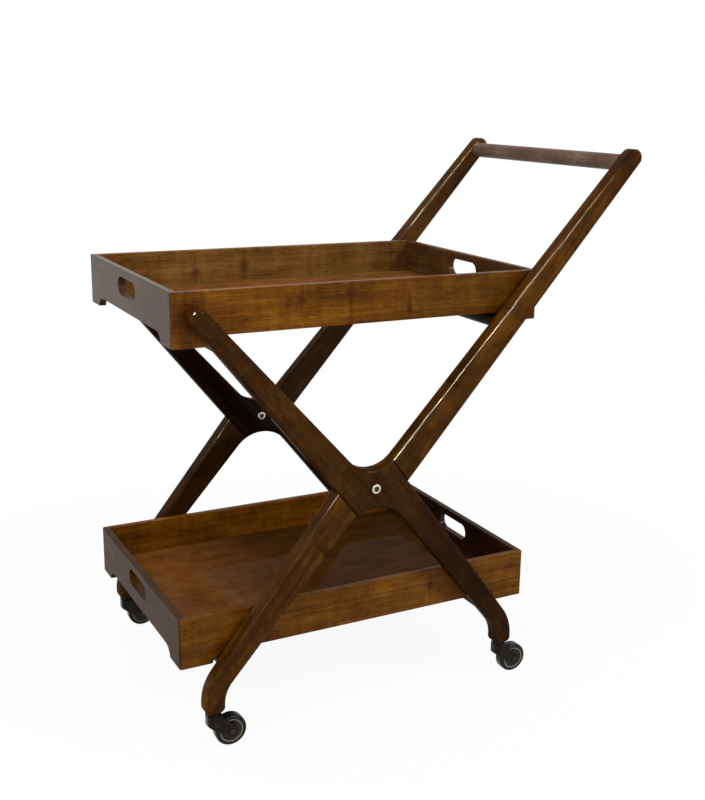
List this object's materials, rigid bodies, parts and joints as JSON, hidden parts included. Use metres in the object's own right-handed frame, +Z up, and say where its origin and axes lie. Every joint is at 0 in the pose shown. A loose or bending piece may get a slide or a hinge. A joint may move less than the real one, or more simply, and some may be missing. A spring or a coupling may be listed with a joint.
{
  "type": "bar cart",
  "caption": "Wooden serving cart: two lift-off trays with hand slots rest on crossed leg frames with a push bar, on swivel casters.",
  "frame": {"origin": "on the floor under the middle of the cart's bounding box", "axes": "+X from the front end to the handle end, +Z up, -Y the near side in the picture"},
  "size_m": [0.7718, 0.4776, 0.8654],
  "materials": {
    "stained_walnut": "dark walnut stain under semi-gloss lacquer",
    "tray_walnut": "golden walnut stain under semi-gloss lacquer",
    "tray_floor_walnut": "reddish walnut veneer under gloss lacquer",
    "nickel_fasteners": "nickel plated, slightly dulled",
    "caster_metal": "glossy gunmetal",
    "caster_core": "glossy black moulded plastic",
    "caster_tyre": "smooth dark rubber"
  },
  "bodies": {
    "frame": {"near_handle_leg": "stained_walnut", "near_cross_leg": "stained_walnut", "far_handle_leg": "stained_walnut", "far_cross_leg": "stained_walnut", "handle_bar": "stained_walnut", "top_front_rail": "stained_walnut", "top_handle_rail": "stained_walnut", "bottom_front_rail": "stained_walnut", "bottom_handle_rail": "stained_walnut", "near_cross_bolt": "nickel_fasteners", "far_cross_bolt": "nickel_fasteners", "near_sleeve_nut": "nickel_fasteners", "far_sleeve_nut": "nickel_fasteners", "near_front_caster_stem": "caster_metal", "near_handle_caster_stem": "caster_metal", "far_front_caster_stem": "caster_metal", "far_handle_caster_stem": "caster_metal"},
    "top_tray": {"top_tray_near_side": "tray_walnut", "top_tray_far_side": "tray_walnut", "top_tray_front_end": "tray_walnut", "top_tray_handle_end": "tray_walnut", "top_tray_floor": "tray_floor_walnut"},
    "bottom_tray": {"bottom_tray_near_side": "tray_walnut", "bottom_tray_far_side": "tray_walnut", "bottom_tray_front_end": "tray_walnut", "bottom_tray_handle_end": "tray_walnut", "bottom_tray_floor": "tray_floor_walnut"},
    "near_front_fork": {"near_front_caster_fork": "caster_metal", "near_front_caster_axle": "nickel_fasteners"},
    "near_front_wheel": {"near_front_caster_wheel": "caster_core", "near_front_caster_tyre": "caster_tyre"},
    "near_handle_fork": {"near_handle_caster_fork": "caster_metal", "near_handle_caster_axle": "nickel_fasteners"},
    "near_handle_wheel": {"near_handle_caster_wheel": "caster_core", "near_handle_caster_tyre": "caster_tyre"},
    "far_front_fork": {"far_front_caster_fork": "caster_metal", "far_front_caster_axle": "nickel_fasteners"},
    "far_front_wheel": {"far_front_caster_wheel": "caster_core", "far_front_caster_tyre": "caster_tyre"},
    "far_handle_fork": {"far_handle_caster_fork": "caster_metal", "far_handle_caster_axle": "nickel_fasteners"},
    "far_handle_wheel": {"far_handle_caster_wheel": "caster_core", "far_handle_caster_tyre": "caster_tyre"}
  },
  "joints": [
    {"name": "top_tray_lift", "type": "slide", "parent": "frame", "child": "top_tray", "axis": [0, 0, 1], "range_m": [0, 0.15]},
    {"name": "bottom_tray_lift", "type": "slide", "parent": "frame", "child": "bottom_tray", "axis": [0, 0, 1], "range_m": [0, 0.1]},
    {"name": "near_front_swivel", "type": "hinge", "parent": "frame", "child": "near_front_fork", "pos_m": [-0.34315, -0.22225, 0.0537], "axis": [0, 0, 1], "continuous": true},
    {"name": "near_front_roll", "type": "hinge", "parent": "near_front_fork", "child": "near_front_wheel", "pos_m": [-0.31815, -0.22225, 0.024], "axis": [0, 1, 0], "continuous": true},
    {"name": "near_handle_swivel", "type": "hinge", "parent": "frame", "child": "near_handle_fork", "pos_m": [0.16125, -0.22225, 0.0537], "axis": [0, 0, 1], "continuous": true},
    {"name": "near_handle_roll", "type": "hinge", "parent": "near_handle_fork", "child": "near_handle_wheel", "pos_m": [0.18625, -0.22225, 0.024], "axis": [0, 1, 0], "continuous": true},
    {"name": "far_front_swivel", "type": "hinge", "parent": "frame", "child": "far_front_fork", "pos_m": [-0.34315, 0.22225, 0.0537], "axis": [0, 0, 1], "continuous": true},
    {"name": "far_front_roll", "type": "hinge", "parent": "far_front_fork", "child": "far_front_wheel", "pos_m": [-0.31815, 0.22225, 0.024], "axis": [0, 1, 0], "continuous": true},
    {"name": "far_handle_swivel", "type": "hinge", "parent": "frame", "child": "far_handle_fork", "pos_m": [0.16125, 0.22225, 0.0537], "axis": [0, 0, 1], "continuous": true},
    {"name": "far_handle_roll", "type": "hinge", "parent": "far_handle_fork", "child": "far_handle_wheel", "pos_m": [0.18625, 0.22225, 0.024], "axis": [0, 1, 0], "continuous": true}
  ]
}
